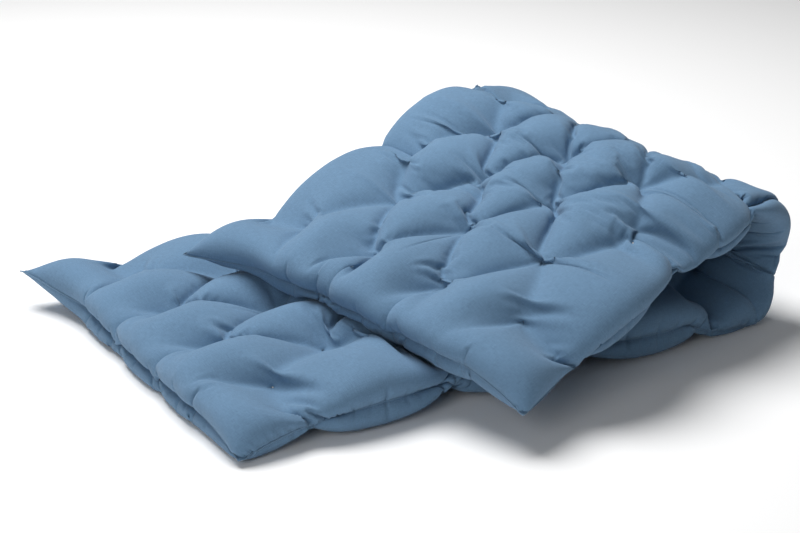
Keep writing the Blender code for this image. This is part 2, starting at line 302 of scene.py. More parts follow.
def laid(u, v, off):
    """Where a point of the mattress lies at rest, with its pinched and curled edges and drawn-out ears."""
    u, v, off = np.broadcast_arrays(np.asarray(u, float), np.asarray(v, float), np.asarray(off, float))
    off = off + FOLD_SINK * window(u, SINK_RISE, SINK_FALL)
    pinch = PINCH * (0.5 - 0.5 * np.cos(math.pi * u / ROW_PITCH))
    pinch = pinch * np.clip(np.minimum(u, LENGTH - u) / (ROW_PITCH / 2), 0, 1)
    near, far = np.clip(SIDE_MARGIN - v, 0, None), np.clip(v - (WIDTH - SIDE_MARGIN), 0, None)
    inset, curl = along_edge(NEAR_EDGE, u)
    out_near, off_near = curled(near, off, SEAM_INSET + pinch + inset, curl)
    inset, curl = along_edge(FAR_EDGE, u)
    out_far, off_far = curled(far, off, SEAM_INSET + pinch + inset, curl)
    across = np.where(near > 0, SIDE_MARGIN - out_near, np.where(far > 0, WIDTH - SIDE_MARGIN + out_far, v))
    off = np.where(near > 0, off_near, np.where(far > 0, off_far, off))
    start, end = np.clip(1 - u / EAR_REACH, 0, 1), np.clip(1 - (LENGTH - u) / EAR_REACH, 0, 1)
    along = u + start ** 2 * END_INSET[0] - end ** 2 * END_INSET[1]
    off = off - START_DROP * start ** 2 * (1 - smooth(v, *START_DROP_FALL))
    off = off + START_LIFT * start ** 2 * smooth(v, *START_LIFT_RISE)
    for name, (drawn_u, drawn_v) in EARS.items():
        corner = start if name.startswith("start") else end
        corner = corner * np.clip(1 - (v if name.endswith("near") else WIDTH - v) / EAR_REACH, 0, 1)
        along = along + corner ** EAR_POWER * drawn_u * (-1 if name.startswith("start") else 1)
        across = across + corner ** EAR_POWER * drawn_v * (-1 if name.endswith("near") else 1)
    points = folded(along, across, off)
    hang = np.clip(HANG_FROM - points[..., 1], 0, None) * smooth(u, *HANG_RISE)
    points[..., 2] -= HANG * hang ** 2
    return points


def tuft_places():
    """(row, u, v) of every tuft: four across on odd rows, three on even ones."""
    places = []
    for row in range(1, ROWS + 1):
        first = SIDE_MARGIN if row % 2 else SIDE_MARGIN + COLUMN_PITCH / 2
        for k in range(4 if row % 2 else 3):
            places.append((row, row * ROW_PITCH, first + COLUMN_PITCH * k))
    return places


def diamonds(u, v):
    """1 in the middle of each bulge, 0 along the valleys from tuft to tuft; the ends bulge in long rolls."""
    along = u / (2 * ROW_PITCH)
    across = (np.clip(v, SIDE_MARGIN, WIDTH - SIDE_MARGIN) - SIDE_MARGIN) / COLUMN_PITCH
    raised = np.abs(np.cos(math.pi * (along + across)) * np.cos(math.pi * (along - across))) ** BULGE_POWER
    roll = 1 - smooth(np.minimum(u, LENGTH - u), *END_ROLL)
    return raised + (1 - raised) * END_ROLL_SHARE * roll


def between_corners(field, i, j, s, t):
    """Values of a grid read inside its cells: at shares s and t past corner (i, j)."""
    return (field[i, j] * (1 - s) * (1 - t) + field[i + 1, j] * s * (1 - t)
            + field[i, j + 1] * (1 - s) * t + field[i + 1, j + 1] * s * t)


class Cloth:
    """Two panels on one grid: panel 0 lies outside the fold, panel 1 inside it."""

    def __init__(self, size, start=None):
        self.size = size
        self.u, self.v = np.linspace(0, LENGTH, size[0] + 1), np.linspace(0, WIDTH, size[1] + 1)
        self.du, self.dv = LENGTH / size[0], WIDTH / size[1]
        self.grid_u, self.grid_v = np.meshgrid(self.u, self.v, indexing="ij")
        middle = laid(self.grid_u, self.grid_v, MID)
        above, below = (laid(self.grid_u, self.grid_v, MID + off) for off in (NORMAL_STEP, -NORMAL_STEP))
        normal = above - below
        normal /= np.linalg.norm(normal, axis=-1, keepdims=True)
        self.middle, self.normal = middle.astype(f4), normal.astype(f4)
        self.set_rest_lengths()
        self.set_fill()
        self.pin_tufts()
        random = np.random.default_rng(SEED)
        if start is None:
            half = START_SHARE * self.cap
            points = np.stack([middle - half[..., None] * normal, middle + half[..., None] * normal])
        else:
            points = np.stack([start.sampled(panel, self.u, self.v) for panel in (0, 1)])
        self.points = (points + random.normal(0, START_SPREAD, points.shape)).astype(f4)
        self.before = self.points.copy()

    def cut_along(self, panel, there, topside):
        """Lengths of the threads along one panel, which is taut outside the fold and crumpled inside it."""
        if panel:
            cut = np.minimum(there * (1 + EASE_ALONG) * EASE_INNER, self.du * (1 + EASE_ALONG))
            cut = np.maximum(cut, FOLD_CRUMPLE * self.du)
        else:
            taut = in_fold((self.grid_u[1:] + self.grid_u[:-1]) / 2)
            cut = np.maximum(self.du * (1 + EASE_ALONG * (1 - FOLD_TAUT * taut)), there * EASE_OUTER)
        end = np.clip(1 - np.minimum(self.u, LENGTH - self.u) / ROW_PITCH, 0, 1)
        ease = EASE_END[0] + (EASE_END[1] - EASE_END[0]) * topside
        return cut + self.du * ((end * ease)[1:])[:, None]

    def cut_across(self, panel, there, topside):
        """Lengths of the threads across one panel, which fits closely in the fold and beside its mouth."""
        margin = np.clip(1 - np.minimum(self.v, WIDTH - self.v) / SIDE_MARGIN, 0, 1)
        margin = (margin[1:] + margin[:-1]) / 2
        ease = (EASE_MARGIN[0] + (EASE_MARGIN[1] - EASE_MARGIN[0]) * topside)[:, None]
        cut = self.dv * (1 + EASE_ACROSS + ease * margin)
        fitted = np.clip(there * (1 + EASE_FITTED), LEAST_ACROSS * self.dv, cut)
        if panel:
            near = margin * (self.v[1:] < WIDTH / 2)
            held = smooth(self.grid_u[:, :1], *NEAR_FITTED_RISE) * near ** 0.5
        else:
            held = in_fold(self.grid_u[:, :1])
        return cut * (1 - held) + fitted * held

    def set_rest_lengths(self):
        """Lengths that the threads keep: along, across, and of the diagonals that resist shear."""
        along, across = [], []
        for panel, off in enumerate((MID - FACE_OFF, MID + FACE_OFF)):
            face = laid(self.grid_u, self.grid_v, off)
            turned = smooth(self.u, *TOPSIDE_TURN)
            topside = turned if panel == 0 else 1 - turned
            along.append(self.cut_along(panel, np.linalg.norm(face[1:] - face[:-1], axis=-1), topside))
            there = np.linalg.norm(face[:, 1:] - face[:, :-1], axis=-1)
            across.append(self.cut_across(panel, there, topside))
        self.rest_u, self.rest_v = np.stack(along).astype(f4), np.stack(across).astype(f4)
        self.rest_u[:, :, [0, -1]] *= SEAM_GATHER
        self.rest_v[:, [0, -1]] *= SEAM_GATHER
        side_u = (self.rest_u[:, :, 1:] + self.rest_u[:, :, :-1]) / 2
        side_v = (self.rest_v[:, 1:] + self.rest_v[:, :-1]) / 2
        self.rest_diagonal = np.sqrt(side_u ** 2 + side_v ** 2)

    def set_fill(self):
        """Thickness at which the filling stops pushing, and how hard it pushes."""
        raised = diamonds(self.grid_u, self.grid_v)
        random = np.random.default_rng(SEED + 1)
        coarse = random.normal(0, 1, (int(LENGTH / ROW_PITCH) + 2, int(WIDTH / UNEVEN_PITCH) + 2))
        at_u, at_v = self.grid_u / ROW_PITCH, self.grid_v / UNEVEN_PITCH
        i, j = at_u.astype(int), at_v.astype(int)
        uneven = between_corners(coarse, i, j, smooth(at_u - i, 0, 1), smooth(at_v - j, 0, 1))
        cap = CAP_VALLEY + (CAP_BULGE - CAP_VALLEY) * raised
        cap *= 1 + CAP_UNEVEN * uneven
        cap *= 1 - (1 - CAP_FOLD) * in_fold(self.grid_u)
        below = window(self.grid_u, MOUTH_BELOW_RISE, MOUTH_BELOW_FALL)
        above = window(self.grid_u, MOUTH_ABOVE_RISE, MOUTH_ABOVE_FALL)
        beside = (below + above) * (1 - smooth(self.grid_v, *MOUTH_ACROSS))
        cap *= 1 - MOUTH_FLAT * beside
        self.cap = cap.astype(f4)
        self.push = (PUSH_VALLEY + (1 - PUSH_VALLEY) * raised).astype(f4)

    def pin_tufts(self):
        """Grid points of the tufts, and where each holds both panels: deeper under the lower layer."""
        places = tuft_places()
        self.tuft_i = np.array([round(u / self.du) for _, u, _ in places])
        self.tuft_j = np.array([round(v / self.dv) for _, _, v in places])
        at = self.middle[self.tuft_i, self.tuft_j]
        way = self.normal[self.tuft_i, self.tuft_j]
        under = TUFT_HALF + TUFT_UNDER * (1 - smooth(self.u[self.tuft_i], *DEEP_TUFTS_FALL))
        self.tufts = (at - under[:, None].astype(f4) * way, at + f4(TUFT_HALF) * way)

    def sampled(self, panel, u, v):
        """This cloth's panel read at other places, for a finer grid."""
        at_u, at_v = u / self.du, v / self.dv
        i = np.minimum(at_u.astype(int), self.size[0] - 1)
        j = np.minimum(at_v.astype(int), self.size[1] - 1)
        s, t = (at_u - i)[:, None, None], (at_v - j)[None, :, None]
        return between_corners(self.points[panel], i[:, None], j[None, :], s, t)

    @staticmethod
    def pull(a, b, rest, tight, slack):
        """Moves the two ends of each thread towards its length."""
        span = b - a
        length = np.sqrt((span * span).sum(-1))
        over = length - rest
        move = over * np.where(over > 0, f4(tight), f4(slack)) * f4(0.5) / np.maximum(length, f4(1e-7))
        span *= move[..., None]
        a += span
        b -= span

    def keep_lengths(self, stiff):
        """One round over all threads, then a little smoothing for the cloth's stiffness."""
        p = self.points
        for first in (0, 1):
            a, b, rest = p[:, first:-1:2], p[:, first + 1::2], self.rest_u[:, first::2]
            self.pull(a, b, rest, 1.0, 0.6)
            a, b, rest = p[:, :, first:-1:2], p[:, :, first + 1::2], self.rest_v[:, :, first::2]
            self.pull(a, b, rest, 1.0, 0.6)
            rest = self.rest_diagonal[:, first::2]
            self.pull(p[:, first:-1:2, :-1], p[:, first + 1::2, 1:], rest, SHEAR, SHEAR / 2)
            self.pull(p[:, first:-1:2, 1:], p[:, first + 1::2, :-1], rest, SHEAR, SHEAR / 2)
        p[:, 1:-1] += ((p[:, :-2] + p[:, 2:]) * f4(0.5) - p[:, 1:-1]) * f4(stiff)
        p[:, :, 1:-1] += ((p[:, :, :-2] + p[:, :, 2:]) * f4(0.5) - p[:, :, 1:-1]) * f4(stiff)

    def hold(self):
        """The seam joins the panels, the tufts hold both, the panels don't cross and the floor is flat."""
        p = self.points
        for edge in (np.s_[:1, :], np.s_[-1:, :], np.s_[:, :1], np.s_[:, -1:]):
            seam = (p[0][edge] + p[1][edge]) * f4(0.5)
            seam += (self.middle[edge] - seam) * f4(SEAM_HOLD)
            p[0][edge] = seam
            p[1][edge] = seam
        p[0][self.tuft_i, self.tuft_j] = self.tufts[0]
        p[1][self.tuft_i, self.tuft_j] = self.tufts[1]
        thick = ((p[1] - p[0]) * self.normal).sum(-1)
        short = np.clip(f4(LEAST_THICK) - thick, 0, None)
        short[[0, -1]] = 0
        short[:, [0, -1]] = 0
        part = self.normal * (short / 2)[..., None]
        p[0] -= part
        p[1] += part
        np.maximum(p[..., 2], 0, out=p[..., 2])

    def outward(self):
        """Area-weighted normal of each point, away from the filling."""
        p = self.points
        face = np.cross(p[:, 1:, 1:] - p[:, :-1, :-1], p[:, :-1, 1:] - p[:, 1:, :-1]) * f4(0.125)
        out = np.zeros_like(p)
        for j, i in itertools.product((np.s_[:-1], np.s_[1:]), repeat=2):
            out[:, i, j] += face
        out[0] *= -1
        return out

    def rest_on_lower_layer(self):
        """Lifts the upper layer's inner face clear of the lower layer's."""
        lower, upper = self.u < MAP_LOWER_TO, self.u > MAP_UPPER_FROM
        low = self.points[1][lower].reshape(-1, 3)
        columns = np.full(MAP_SIZE, -1.0, f4)
        i = np.clip((low[:, 0] + MAP_MARGIN) / MAP_CELL, 0, MAP_SIZE[0] - 1).astype(int)
        j = np.clip((low[:, 1] + MAP_MARGIN) / MAP_CELL, 0, MAP_SIZE[1] - 1).astype(int)
        np.maximum.at(columns, (i, j), low[:, 2])
        high = self.points[1][upper].reshape(-1, 3)
        i = np.floor((high[:, 0] + MAP_MARGIN) / MAP_CELL).astype(int)
        j = np.floor((high[:, 1] + MAP_MARGIN) / MAP_CELL).astype(int)
        over = (i >= 0) & (i < MAP_SIZE[0]) & (j >= 0) & (j < MAP_SIZE[1])
        ground = np.full(len(high), -1.0, f4)
        ground[over] = columns[i[over], j[over]]
        lift = np.clip(ground + f4(CLEARANCE) - high[:, 2], 0, MAX_LIFT)
        high[:, 2] += np.where(ground < 0, 0, lift)
        self.points[1][upper] = high.reshape(-1, len(self.v), 3)

    def run(self, steps, rounds, push, damping, stiff):
        """Steps of the simulation: the filling pushes both panels apart, the threads and the rest hold."""
        for _ in range(steps):
            speed = (self.points - self.before) * f4(damping)
            self.before = self.points.copy()
            thick = ((self.points[1] - self.points[0]) * self.normal).sum(-1)
            press = push * self.push * np.clip(1 - (thick / self.cap) ** 3, -0.8, 1)
            scale = (press / f4(self.du * self.dv)).astype(f4)[None, ..., None]
            self.points += speed + self.outward() * scale
            for _ in range(rounds):
                self.keep_lengths(stiff)
                self.hold()
            self.rest_on_lower_layer()


def simulate():
    cloth = None
    for size, *settings in RUNS:
        cloth = Cloth(size, cloth)
        cloth.run(*settings)
    return cloth


def turned_about(place, axis, angle):
    """Turn by an angle about an axis through a place."""
    place = Vector(place)
    return Matrix.Translation(place) @ Matrix.Rotation(angle, 4, Vector(axis)) @ Matrix.Translation(-place)


class Hinge:
    """One fold line of the frame, with its line on the flat mattress."""

    def __init__(self, joint, placed, shift):
        self.bodies = joint["parent"], joint["child"]
        self.at, axis = Vector(joint["pos_m"]), Vector(joint["axis"])
        turn = math.radians(joint["range_deg"][1])
        forward = Matrix.Rotation(-turn / 2, 3, axis) @ axis.cross(placed.to_3x3() @ Vector((0, 0, 1)))
        self.forward = forward.normalized()
        self.start, self.end = self.at - BEND_ZONE * self.forward, self.at + BEND_ZONE * self.forward
        flat_at = placed.inverted() @ self.at - Vector(shift)
        flat_axis = placed.to_3x3().inverted() @ axis
        self.slope = flat_axis.x / flat_axis.y
        self.u = flat_at.x + (WIDTH / 2 - flat_at.y) * self.slope
        self.placed = turned_about(self.at, axis, -turn) @ placed

    def line(self, v):
        """Where along the flat mattress the hinge is, at a place across it."""
        return self.u + (v - WIDTH / 2) * self.slope

    def beyond(self, places):
        """How far past the hinge each place is, square to the fold there."""
        return (places - np.array(self.at)) @ np.array(self.forward)


def hinges_of(joints, shift):
    """The frame's fold lines in order, each placed by the ones before it."""
    found, placed = [], Matrix.Identity(4)
    for joint in joints:
        found.append(Hinge(joint, placed, shift))
        placed = found[-1].placed
    return found


def piece_at(hinges, u, v, places):
    """Which piece, one per hinge, holds each place: cut midway between the hinges, as the cover lies."""
    piece = np.zeros(len(u), int)
    for before, after in zip(hinges, hinges[1:]):
        middle = (before.line(v) + after.line(v)) / 2
        past = before.beyond(places) + after.beyond(places) > 0
        piece += np.where(np.abs(u - middle) < CUT_SWAY, past, u > middle)
    return piece


def mesh_object(name, points, faces, material):
    """A smooth-shaded object in the scene."""
    mesh = bpy.data.meshes.new(name)
    mesh.from_pydata(np.asarray(points, float).tolist(), [], [[int(i) for i in face] for face in faces])
    mesh.shade_smooth()
    mesh.materials.append(material)
    made = bpy.data.objects.new(name, mesh)
    bpy.context.scene.collection.objects.link(made)
    return made


def set_uv(mesh, uv):
    """The cloth's own coordinates in metres, for the weave."""
    layer = mesh.uv_layers.new(name="cut")
    corner = np.zeros(len(mesh.loops), np.int32)
    mesh.loops.foreach_get("vertex_index", corner)
    layer.data.foreach_set("uv", np.asarray(uv, np.float32)[corner].ravel())


def panel_faces(cloth):
    """Quads of both panels over one list of points, [panel, i, j] flattened, facing out."""
    nu, nv = len(cloth.u), len(cloth.v)
    index = np.arange(nu * nv).reshape(nu, nv)
    quads = np.stack([index[:-1, :-1], index[1:, :-1], index[1:, 1:], index[:-1, 1:]], -1).reshape(-1, 4)
    return np.concatenate([quads[:, ::-1], quads + nu * nv])


def welded_normals(cloth):
    """Outward normals that agree where the panels are sewn together."""
    out = -cloth.outward()
    for edge in (np.s_[0, :], np.s_[-1, :], np.s_[:, 0], np.s_[:, -1]):
        both = out[0][edge] + out[1][edge]
        out[0][edge] = both
        out[1][edge] = both
    out = -out
    return out / np.maximum(np.linalg.norm(out, axis=-1, keepdims=True), 1e-9)


def finish_piece(made, nodes):
    """Bakes a piece's placement into its mesh and hides the CAD nodes that it stands for."""
    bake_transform(made)
    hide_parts(*nodes)


def sections_of(k, count):
    """CAD sections that piece k stands for."""
    names = ["lower"] + [f"fold_{i + 1}" for i in range(count - 1)] + ["upper"]
    return names[k:k + 2]


def layers_of(kind, k, count):
    """CAD nodes of one kind, outer and inner, that piece k stands for."""
    return [f"{side}_{kind}_{part}" for side in ("outer", "inner") for part in sections_of(k, count)]


def make_covers(cloth, hinges, shift, material):
    """Both panels of the cover, one piece for each hinge."""
    points = cloth.points.reshape(-1, 3) + shift
    normals = welded_normals(cloth).reshape(-1, 3)
    flat = [np.stack([cloth.grid_u, cloth.grid_v + panel * INNER_UV_SHIFT], -1) for panel in (0, 1)]
    uv = np.stack(flat).reshape(-1, 2)
    faces = panel_faces(cloth)
    centre = uv[faces].mean(1)
    owner = piece_at(hinges, centre[:, 0], centre[:, 1] % INNER_UV_SHIFT, points[faces].mean(1))
    for k, hinge in enumerate(hinges):
        own = faces[owner == k]
        used, local = np.unique(own, return_inverse=True)
        cover = mesh_object(f"cover_{k + 1}", points[used], local.reshape(-1, 4), material)
        set_uv(cover.data, uv[used])
        cover.data.normals_split_custom_set_from_vertices(normals[used].tolist())
        finish_piece(cover, layers_of("cover", k, len(hinges)))


def tube(points, radius, sides):
    """Rings of a tube along points, with faces and capped ends."""
    points = np.asarray(points, float)
    along = np.gradient(points, axis=0)
    along /= np.linalg.norm(along, axis=1, keepdims=True)
    side = np.cross(along, [0.0, 0.0, 1.0])
    weak = np.linalg.norm(side, axis=1) < 0.2
    side[weak] = np.cross(along[weak], [1.0, 0.0, 0.0])
    side /= np.linalg.norm(side, axis=1, keepdims=True)
    up = np.cross(side, along)
    turn = np.arange(sides) * 2 * math.pi / sides
    ring = np.cos(turn)[None, :, None] * side[:, None] + np.sin(turn)[None, :, None] * up[:, None]
    rings = points[:, None] + ring * radius
    count = len(points)
    faces = []
    for i in range(count - 1):
        a, b = i * sides, (i + 1) * sides
        faces += [(a + s, a + (s + 1) % sides, b + (s + 1) % sides, b + s) for s in range(sides)]
    faces += [tuple(range(sides))[::-1], tuple(range((count - 1) * sides, count * sides))]
    return rings.reshape(-1, 3), faces


def join(parts):
    """One list of points and faces from several."""
    points, faces, start = [], [], 0
    for part_points, part_faces in parts:
        points.append(part_points)
        faces += [tuple(i + start for i in face) for face in part_faces]
        start += len(part_points)
    return np.concatenate(points), faces


def surface(cloth, panel, u, v):
    """Points and outward normals of a panel at given places."""
    at_u, at_v = np.asarray(u) / cloth.du, np.asarray(v) / cloth.dv
    i = np.clip(at_u.astype(int), 0, cloth.size[0] - 1)
    j = np.clip(at_v.astype(int), 0, cloth.size[1] - 1)
    s, t = (at_u - i)[:, None], (at_v - j)[:, None]
    place = between_corners(cloth.points[panel], i, j, s, t)
    out = between_corners(cloth.out[panel], i, j, s, t)
    return place, out / np.linalg.norm(out, axis=-1, keepdims=True)


def rim(cloth):
    """(i, j) round the edge, in order."""
    last_i, last_j = cloth.size
    walk = [(i, 0) for i in range(last_i)] + [(last_i, j) for j in range(last_j)]
    walk += [(i, last_j) for i in range(last_i, 0, -1)] + [(0, j) for j in range(last_j, 0, -1)]
    return np.array(walk)


def topstitches(cloth, hinges, shift):
    """(piece, points) of every stitch beside the seam, on both faces."""
    stitches = []
    rows = ((None, STITCH_INSET, LENGTH), (None, WIDTH - STITCH_INSET, LENGTH),
            (STITCH_INSET, None, WIDTH), (LENGTH - STITCH_INSET, None, WIDTH))
    for side, (inset_u, inset_v, length) in itertools.product((0, 1), rows):
        starts = np.arange(STITCH_PITCH, length - STITCH_PITCH, STITCH_PITCH)
        walked = starts[:, None] + np.linspace(0, STITCH_LENGTH, len(STITCH_LIFTS))[None]
        fixed = np.full(walked.size, inset_v if inset_u is None else inset_u)
        u, v = (walked.ravel(), fixed) if inset_u is None else (fixed, walked.ravel())
        points, out = surface(cloth, side, u, v)
        lift = np.tile(STITCH_LIFTS, len(starts))[:, None] * STITCH_RADIUS
        points = (points + out * lift + shift).reshape(-1, len(STITCH_LIFTS), 3)
        middle_u, middle_v = (place.reshape(-1, len(STITCH_LIFTS))[:, 1] for place in (u, v))
        stitches += list(zip(piece_at(hinges, middle_u, middle_v, points[:, 1]), points))
    return stitches


def stretches(own):
    """Index runs round a closed walk where own is true, each with one more place at its end."""
    runs = []
    for first in np.flatnonzero(own & ~np.roll(own, 1)):
        run = [first]
        while own[(run[-1] + 1) % len(own)] and len(run) < len(own):
            run.append((run[-1] + 1) % len(own))
        runs.append(run + [(run[-1] + 1) % len(own)])
    return runs


def make_seams(cloth, hinges, shift, material):
    """The rolled edge seam with its topstitch, one piece for each hinge."""
    walk = rim(cloth)
    ridge = cloth.points[0][walk[:, 0], walk[:, 1]]
    outward = (cloth.out[0] + cloth.out[1])[walk[:, 0], walk[:, 1]]
    outward /= np.linalg.norm(outward, axis=1, keepdims=True)
    ridge = ridge + outward * SEAM_RADIUS * 0.5 + shift
    owner = piece_at(hinges, cloth.u[walk[:, 0]], cloth.v[walk[:, 1]], ridge)
    stitches = topstitches(cloth, hinges, shift)
    for k, hinge in enumerate(hinges):
        parts = [tube(ridge[run], SEAM_RADIUS, 8) for run in stretches(owner == k)]
        parts += [tube(points, STITCH_RADIUS, 5) for whose, points in stitches if whose == k]
        seam = mesh_object(f"edge_seam_{k + 1}", *join(parts), material)
        nodes = []
        for part in sections_of(k, len(hinges)):
            sides = [""] if part in ("lower", "upper") else ["near_", "far_"]
            nodes += [f"edge_seam_{side}{part}" for side in sides]
        finish_piece(seam, nodes)


def twine_bar(cloth, panel, u, v, shift, random):
    """Strands of one bar of twine, across the mattress where it comes through a panel."""
    i, j = round(u / cloth.du), round(v / cloth.dv)
    out = cloth.out[panel][i, j].astype(float)
    out /= np.linalg.norm(out)
    centre = cloth.points[panel][i, j] + shift
    across = cloth.points[panel][i, j + 2] - cloth.points[panel][i, j - 2]
    across = across - out * (across @ out)
    across /= np.linalg.norm(across)
    side = np.cross(out, across)
    strands = []
    for strand in range(THREADS):
        spread = (strand - (THREADS - 1) / 2) * THREAD_RADIUS * THREAD_SPREAD
        lean = random.normal(0, THREAD_LEAN)
        way = across * math.cos(lean) + side * math.sin(lean)
        t = np.linspace(-1, 1, THREAD_POINTS)[:, None]
        span = THREAD_SPAN * random.uniform(0.9, 1.1) / 2
        arch = (1 - t ** 2) * THREAD_ARCH - THREAD_SINK
        points = centre + side * spread + way * t * span + out * arch
        points = points + side * np.sin(t * 9 + strand * 2) * THREAD_RADIUS * 0.3
        strands.append(tube(points, THREAD_RADIUS, 6))
    return strands


def make_tufts(cloth, frame, shift, material):
    """Short bars of twine where it comes through the cover, on both faces."""
    random = np.random.default_rng(SEED + 2)
    body_of_row = {}
    for body, nodes in frame["record"]["behaviour"]["bodies"].items():
        for node in nodes:
            if node.startswith("tuft_twine_row_"):
                body_of_row[int(node[-2:])] = body
    for body in dict.fromkeys(body_of_row[row] for row in sorted(body_of_row)):
        parts = []
        for row, u, v in tuft_places():
            if body_of_row[row] == body:
                for panel in (0, 1):
                    parts += twine_bar(cloth, panel, u, v, shift, random)
        twine = mesh_object(f"tuft_twine_{body}", *join(parts), material)
        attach(twine, body)
        rows = [row for row, whose in body_of_row.items() if whose == body]
        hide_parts(*[f"tuft_twine_row_{row:02d}" for row in rows])


def room_inside(tree, centres, ways):
    """How far each centre is from the cover along its way, or 0 where it isn't inside."""
    room = np.zeros(len(centres))
    for k, (centre, way) in enumerate(zip(centres.tolist(), ways.tolist())):
        _, normal, _, distance = tree.ray_cast(centre, way)
        if normal is not None and normal.dot(Vector(way)) > 0:
            room[k] = distance
    return room


def least_around(room):
    """The smallest of each place and its neighbours on the grid."""
    padded = np.pad(room, 1, mode="edge")
    nu, nv = room.shape
    return np.min([padded[i:i + nu, j:j + nv] for i in range(3) for j in range(3)], axis=0)


def make_batting(cloth, hinges, shift, material):
    """The filling: a body inside the cover, cut at the same lines, and left out where it wouldn't fit."""
    at_u = np.arange(BATTING_U[0], LENGTH - BATTING_U[0] + BATTING_U[1] / 2, BATTING_U[1])
    at_v = np.arange(BATTING_V[0], WIDTH - BATTING_V[0] + BATTING_V[1] / 2, BATTING_V[1])
    grid = np.ix_(np.round(at_u / cloth.du).astype(int), np.round(at_v / cloth.dv).astype(int))
    at_u, at_v = cloth.grid_u[grid], cloth.grid_v[grid]
    tree = BVHTree.FromPolygons(cloth.points.reshape(-1, 3).tolist(), panel_faces(cloth).tolist())
    middle, normal = cloth.points.mean(0)[grid], cloth.normal[grid]
    to_edge = np.minimum(np.minimum(at_u, LENGTH - at_u), np.minimum(at_v, WIDTH - at_v))
    share = BATTING_SHARE * (0.1 + 0.9 * smooth(to_edge, BATTING_V[0], SIDE_MARGIN))
    layers, fits = [], True
    for way in (-normal, normal):
        room = room_inside(tree, middle.reshape(-1, 3), way.reshape(-1, 3)).reshape(at_u.shape)
        room = least_around(least_around(room))
        layers.append(middle + way * (share * room)[..., None] + shift)
        fits = fits & (room > BATTING_LEAST)
    fits = fits[1:, 1:] & fits[:-1, 1:] & fits[1:, :-1] & fits[:-1, :-1]
    nu, nv = at_u.shape
    index = np.arange(nu * nv).reshape(nu, nv)
    centre_u = (at_u[1:, 1:] + at_u[:-1, :-1]) / 2
    centre_v = (at_v[1:, 1:] + at_v[:-1, :-1]) / 2
    centres = (middle[1:, 1:] + middle[:-1, :-1]) / 2 + shift
    owner = piece_at(hinges, centre_u.ravel(), centre_v.ravel(), centres.reshape(-1, 3))
    owner = owner.reshape(centre_u.shape)
    points = np.concatenate([layer.reshape(-1, 3) for layer in layers])
    for k, hinge in enumerate(hinges):
        faces, edges = [], {}
        for i, j in np.argwhere(fits & (owner == k)):
            corners = [index[i, j], index[i + 1, j], index[i + 1, j + 1], index[i, j + 1]]
            faces += [corners[::-1], [c + nu * nv for c in corners]]
            for a, b in zip(corners, corners[1:] + corners[:1]):
                edges[(a, b)] = True
        faces += [[a, b, b + nu * nv, a + nu * nv] for a, b in edges if (b, a) not in edges]
        used, local = np.unique(np.array(faces), return_inverse=True)
        batting = mesh_object(f"batting_{k + 1}", points[used], local.reshape(-1, 4), material)
        finish_piece(batting, layers_of("batting", k, len(hinges)))


class Nodes:
    """Short names for the shader nodes that the materials use."""

    def __init__(self, name):
        self.material = bpy.data.materials.new(name)
        self.material.use_nodes = True
        self.tree = self.material.node_tree
        self.shader = self.tree.nodes["Principled BSDF"]

    def add(self, kind, inputs=(), **settings):
        node = self.tree.nodes.new("ShaderNode" + kind)
        for key, value in settings.items():
            setattr(node, key, value)
        for key, value in dict(inputs).items():
            self.put(value, node.inputs[key])
        return node

    def put(self, value, socket):
        if isinstance(value, bpy.types.NodeSocket):
            self.tree.links.new(value, socket)
        else:
            socket.default_value = value

    def math(self, operation, a, b=0.0):
        return self.add("Math", {0: a, 1: b}, operation=operation).outputs[0]

    def noise(self, where, scale, detail=2.0, roughness=0.5):
        settings = {"Vector": where, "Scale": scale, "Detail": detail, "Roughness": roughness}
        return self.add("TexNoise", settings).outputs["Fac"]

    def stretched(self, where, scale):
        return self.add("Mapping", {"Vector": where, "Scale": scale}).outputs[0]

    def mix(self, share, a, b):
        node = self.add("Mix", data_type="RGBA")
        self.put(share, node.inputs[0])
        self.put(a, node.inputs[6])
        self.put(b, node.inputs[7])
        return node.outputs[2]

    def ramp(self, value, low, high):
        return self.add("MapRange", {"Value": value, "From Min": low, "From Max": high}).outputs[0]

    def bump(self, height, distance, strength):
        made = self.add("Bump", {"Height": height, "Distance": distance, "Strength": strength})
        self.put(made.outputs[0], self.shader.inputs["Normal"])


def tint(colour, factor):
    """A lighter or darker colour, with its alpha."""
    return tuple(min(1.0, c * factor) for c in colour) + (1.0,)


